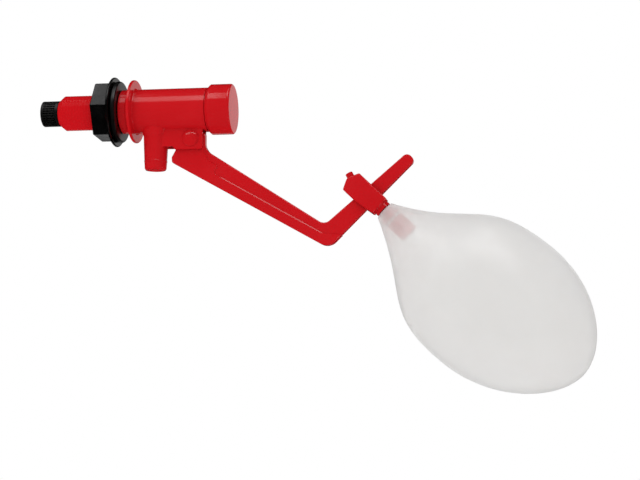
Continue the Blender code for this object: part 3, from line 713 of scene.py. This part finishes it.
def make_lever(red):
    """Core plate with a thicker head and a thicker lower rim along the arm."""
    core = plate("lever_arm_moulding", rounded([
        (33.5, -26.0, 0.0), (33.5, -32.7, 0.0), (125.5, -83.9, 11.0), (176.0, -33.6, 2.7),
        (171.5, -28.6, 3.2), (123.0, -70.2, 5.0), (51.2, -24.4, 15.6), (51.2, -15.6, 0.0)], 12),
        -ARM_HALF_DEPTH, ARM_HALF_DEPTH, red)
    soften(core, 0.8, 4)
    rim = plate("rim", rounded([
        (36.6, -18.5, 0.0), (31.0, -28.6, 0.6), (31.2, -31.7, 1.8), (125.56, -84.1, 11.0),
        (133.5, -76.1, 0.0), (129.0, -76.0, 0.0), (121.1, -74.6, 8.0), (56.8, -38.6, 1.5),
        (59.6, -34.3, 1.2), (53.0, -30.6, 4.0), (51.0, -24.0, 6.0), (51.0, -14.8, 1.0),
        (47.0, -12.9, 2.0), (39.4, -12.9, 2.5)], 12), -HEAD_HALF_DEPTH, HEAD_HALF_DEPTH, red)
    soften(rim, 0.75, 1)
    hole = turned("hole", rod(-6.0, 6.0, PIN_R + GAP), red, AT_PIVOT @ ALONG_Y, 48)
    combine(core, ("UNION", rim), ("UNION", make_finger(red)), ("DIFFERENCE", hole))
    even_normals(core)
    stands_for(core, "lever_arm", "lever")


# Float set

def make_clamp_collar(red):
    """A round collar under the block, and a peg that enters the float's plug."""
    top, collar_r, step_r, peg_r, peg_end = -7.4, 5.6, 4.9, 2.6, -20.2
    return turned("collar", rounded([
        (top, 0.0, 0.0), (top, collar_r, 0.0), (CLAMP_BOTTOM_Z - 0.4, collar_r, 0.3),
        (CLAMP_BOTTOM_Z - 0.4, step_r, 0.2), (-11.2, step_r, 0.2), (-11.2, peg_r, 0.2),
        (peg_end, peg_r, 0.4), (peg_end, 0.0, 0.0)], closed=False), red, AT_CLAMP, 64)


def make_clamp(red):
    outline = rounded([
        (-7.7, 14.0, 1.0), (-7.7, 4.0, 6.0), (-6.5, -4.5, 2.0), (-6.0, CLAMP_BOTTOM_Z, 1.0),
        (5.7, CLAMP_BOTTOM_Z, 0.9), (5.8, 13.5, 1.0), (-1.0, 17.0, 4.0)], 8)
    clamp = plate("float_clamp_block", outline, -CLAMP_HALF_DEPTH, CLAMP_HALF_DEPTH, red,
                  AT_CLAMP)
    soften(clamp, 1.6, 6, 40.0)
    bar_lean = Matrix.Rotation(math.pi / 2.0 - CLAMP_AXIS_DOWN - BAR_UP, 4, "Y")
    bar_hole = block("bar_hole", (-20.0, -ARM_HALF_DEPTH - GAP, -4.5),
                     (20.0, ARM_HALF_DEPTH + GAP, 5.8), red, AT_CLAMP @ bar_lean)
    screw_hole = turned("screw_hole", rod(-13.0, 8.0, SCREW_R + GAP), red, ON_SCREW, 48)
    combine(clamp, ("UNION", make_clamp_collar(red)), ("DIFFERENCE", bar_hole),
            ("DIFFERENCE", screw_hole))
    even_normals(clamp)
    stands_for(clamp, "float_clamp", "float_set")


def screw_thread(along, radius, angle):
    """A fine thread on the part of the screw inside the clamp."""
    if not -10.0 < along < -2.0 or radius < SCREW_R - 0.01:
        return radius
    pitch, depth = 0.8, 0.22
    phase = along / pitch - angle / (2.0 * math.pi)
    return radius - depth * (0.5 - 0.5 * math.cos(2.0 * math.pi * phase))


def make_clamp_screw(red):
    """A headless screw with a slot across its outer end."""
    shank_start, shank_length, steps = -10.0, 11.5, 92
    first = metres([(-10.4, 0.0), (-10.4, 1.6)])
    shank = metres([(shank_start + shank_length * i / steps, SCREW_R) for i in range(steps + 1)])
    end = rounded([(1.6, SCREW_R, 0.0), (2.8, SCREW_R, 0.1), (3.0, 1.9, 0.1), (3.0, 0.0, 0.0)],
                  closed=False)
    screw = turned("clamp_screw_threaded", first + shank + end, red, ON_SCREW, 48,
                   relief=screw_thread)
    slot = block("slot", (-5.0, -0.4, 2.0), (5.0, 0.4, 4.0), red, ON_SCREW)
    combine(screw, ("DIFFERENCE", slot))
    stands_for(screw, "clamp_screw", "set_screw")


def bezier(a, b, c, d, steps):
    """Points of a cubic curve, without its last one."""
    points = []
    for i in range(steps):
        t = i / steps
        weights = ((1 - t) ** 3, 3 * t * (1 - t) ** 2, 3 * t * t * (1 - t), t ** 3)
        points.append(tuple(sum(w * p[k] for w, p in zip(weights, (a, b, c, d)))
                            for k in (0, 1)))
    return points


def float_outline(inset, steps):
    """(depth, radius) from the mouth to the far end, moved inwards by inset."""
    tip = 146.7 - inset
    widest = (83.8, 45.4 - inset)
    neck = bezier((0.0, 6.0 - inset), (44.9, 27.8 - inset), (37.9, widest[1]), widest, steps)
    end = bezier(widest, (120.5, widest[1]), (tip, 19.5 - inset), (tip, 0.0), steps)
    return neck + end + [(tip, 0.0)]


def weld_line(along, radius, angle):
    """The mould's weld line, on both surfaces of the float beyond its neck."""
    return radius + (0.07 if on_seam(angle) and radius > 9.0 else 0.0)


def bend_float(shell):
    """Leans the body of the float a little against its neck."""
    start, length, slope = 8.0 * MM, 27.0 * MM, 0.065
    back = AT_CLAMP.inverted()
    for vertex in shell.data.vertices:
        local = back @ vertex.co
        depth = NECK_Z * MM - local.z
        inside = min(max(depth - start, 0.0), length)
        beyond = max(depth - start - length, 0.0)
        local.x += slope * (inside ** 2 / (2.0 * length) + beyond)
        vertex.co = AT_CLAMP @ local


def make_float(milky):
    outer = float_outline(0.14, 40)
    inner = float_outline(1.3, 24)
    lip = [(0.15, 4.72), (0.0, 4.95), (0.0, 5.75), (0.15, 6.0)]
    depths = inner[:0:-1] + lip + outer[1:]
    profile = metres([(NECK_Z - depth, radius) for depth, radius in depths])
    shell = turned("float_bulb", profile, milky, AT_CLAMP, 112, relief=weld_line, seam=0.006)
    bend_float(shell)
    shell.visible_shadow = False
    stands_for(shell, "float_shell", "float_set")


def make_float_plug(red):
    """Its corners are given by their depth below the float's mouth."""
    plug_r, shank_r, groove_r, peg_hole_r, peg_hole_end, end = 5.7, 4.4, 4.9, 2.9, 9.0, 20.0
    groove_top, groove_bottom = 6.5, 8.1
    profile = rounded([(NECK_Z - depth, radius, fillet) for depth, radius, fillet in (
        (peg_hole_end, 0.0, 0.0), (peg_hole_end, peg_hole_r, 0.0), (-0.3, peg_hole_r, 0.1),
        (-0.3, shank_r, 0.2), (1.9, shank_r, 0.2), (2.6, plug_r - 0.1, 0.1),
        (groove_top, plug_r, 0.1), (groove_top, groove_r, 0.0), (groove_bottom, groove_r, 0.0),
        (groove_bottom, plug_r, 0.1), (end - 0.8, plug_r, 0.4), (end, 4.9, 0.3),
        (end, 0.0, 0.0))], closed=False)
    plug = turned("float_plug_moulding", profile, red, AT_CLAMP, 64)
    even_normals(plug)
    stands_for(plug, "float_plug", "float_set")


# Stage, lights and camera

def sheet(name, corners, look):
    """A flat panel that no reflection shows."""
    bm = bmesh.new()
    bm.faces.new([bm.verts.new(corner) for corner in corners])
    panel = piece(name, bm, look)
    panel.visible_glossy = False
    return panel


def make_stage():
    """Pale floor, well below the valve, and a pale wall behind it."""
    floor_z, floor_half = -0.55, 7.0
    wall_y, wall_half, wall_low, wall_high = 1.75, 2.6, -1.6, 2.2
    floor = sheet("floor", [
        (-floor_half, -floor_half, floor_z), (floor_half, -floor_half, floor_z),
        (floor_half, floor_half, floor_z), (-floor_half, floor_half, floor_z)],
        stage_white("floor_white", 0.9, 0.12))
    wall = sheet("backdrop", [
        (-wall_half, wall_y, wall_low), (wall_half, wall_y, wall_low),
        (wall_half, wall_y, wall_high), (-wall_half, wall_y, wall_high)],
        stage_white("backdrop_white", 0.0, 1.0))


def softbox(name, place, size, radiance, lights_surfaces=True):
    """A rectangular light, long along X, that faces the X axis.

    radiance is what a mirror would show of it. Without lights_surfaces it shows only in
    reflections.
    """
    data = bpy.data.lights.new(name, "AREA")
    data.shape = "RECTANGLE"
    data.size, data.size_y = size
    data.energy = radiance * math.pi * size[0] * size[1]
    obj = bpy.data.objects.new(name, data)
    bpy.context.collection.objects.link(obj)
    towards = Vector((0.0, -place[1], -place[2])).to_track_quat("-Z", "Y")
    obj.matrix_world = Matrix.Translation(place) @ towards.to_matrix().to_4x4()
    obj.visible_camera = False
    obj.visible_diffuse = lights_surfaces


def white_background(tree, strength):
    node = tree.nodes.new("ShaderNodeBackground")
    node.inputs["Strength"].default_value = strength
    node.inputs["Color"].default_value = (1.0, 1.0, 1.0, 1.0)
    return node.outputs["Background"]


def make_world():
    """Soft white light from all around, which shows in no reflection."""
    fill, seen = 0.95, 1.0
    world = bpy.data.worlds.new("studio")
    bpy.context.scene.world = world
    world.use_nodes = True
    world.cycles_visibility.glossy = False
    tree = world.node_tree
    tree.nodes.clear()
    path = tree.nodes.new("ShaderNodeLightPath")
    mix = tree.nodes.new("ShaderNodeMixShader")
    out = tree.nodes.new("ShaderNodeOutputWorld")
    tree.links.new(path.outputs["Is Camera Ray"], mix.inputs["Fac"])
    tree.links.new(white_background(tree, fill), mix.inputs[1])
    tree.links.new(white_background(tree, seen), mix.inputs[2])
    tree.links.new(mix.outputs["Shader"], out.inputs["Surface"])


def make_lights():
    """Softboxes above and in front, and two cards behind that show in the steep faces.

    The dark gap between the edge and side softboxes falls near the end cap's left edge.
    """
    softbox("key_softbox", (-0.60, -0.582, 0.831), (0.80, 0.50), 1.6)
    softbox("edge_softbox", (-0.179, -0.582, 0.831), (0.042, 0.50), 2.8, False)
    softbox("top_softbox", (-0.55, -0.11, 0.95), (0.54, 0.20), 2.4, False)
    softbox("side_softbox", (0.375, -0.47, 0.90), (0.85, 0.50), 3.0, False)
    softbox("ledge_softbox", (0.38, 0.02, 0.95), (0.32, 0.26), 2.6, False)
    softbox("right_card", (0.40, 1.20, 0.25), (0.65, 0.65), 0.55, False)
    softbox("low_card", (-0.25, 0.90, -0.37), (1.0, 0.17), 0.6, False)


def make_camera():
    """Long lens, slightly to the right of the valve and a little below it, looking up."""
    turn, tilt, roll = math.radians(8.9), math.radians(-6.0), math.radians(-0.14)
    target, distance = Vector((0.120, 0.0, -0.079)), 0.846
    back = Vector((math.sin(turn) * math.cos(tilt), -math.cos(turn) * math.cos(tilt),
                   math.sin(tilt)))
    right = Vector((math.cos(turn), math.sin(turn), 0.0))
    up = back.cross(right)
    across = right * math.cos(roll) - up * math.sin(roll)
    above = right * math.sin(roll) + up * math.cos(roll)
    data = bpy.data.cameras.new("camera")
    data.lens = 81.5625
    data.sensor_width = 36.0
    data.clip_start, data.clip_end = 0.01, 30.0
    camera = bpy.data.objects.new("camera", data)
    bpy.context.collection.objects.link(camera)
    facing = Matrix((across, above, back)).transposed().to_4x4()
    camera.matrix_world = Matrix.Translation(target + back * distance) @ facing
    bpy.context.scene.camera = camera


def main():
    red = red_plastic()
    rubber = black_rubber()
    steel = turned_metal("stainless_steel", (0.50, 0.50, 0.51), (0.60, 0.60, 0.61), 0.27)
    brass = turned_metal("brass", (0.55, 0.36, 0.12), (0.66, 0.46, 0.17), 0.28)
    acetal = white_acetal()
    for node, look in (
            ("seat_nozzle", brass), ("seal_retainer", brass), ("seat_nozzle_oring", rubber),
            ("piston_oring", rubber), ("plug_oring", pale_silicone()), ("piston_seal", rubber),
            ("piston", acetal), ("strainer_screen", screen_mesh())):
        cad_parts[node].material_slots[0].material = look

    make_valve_body(red)
    make_end_cap(red)
    make_pivot_pin(red)
    make_pin_clip(steel)
    make_wall_washer(rubber)
    make_backnut(black_plastic())
    make_strainer(strainer_plastic())
    make_lever(red)
    make_clamp(red)
    make_clamp_screw(red)
    make_float(milky_float())
    make_float_plug(red)

    make_stage()
    make_world()
    make_lights()
    make_camera()
    bpy.context.scene.view_settings.view_transform = "Standard"


main()
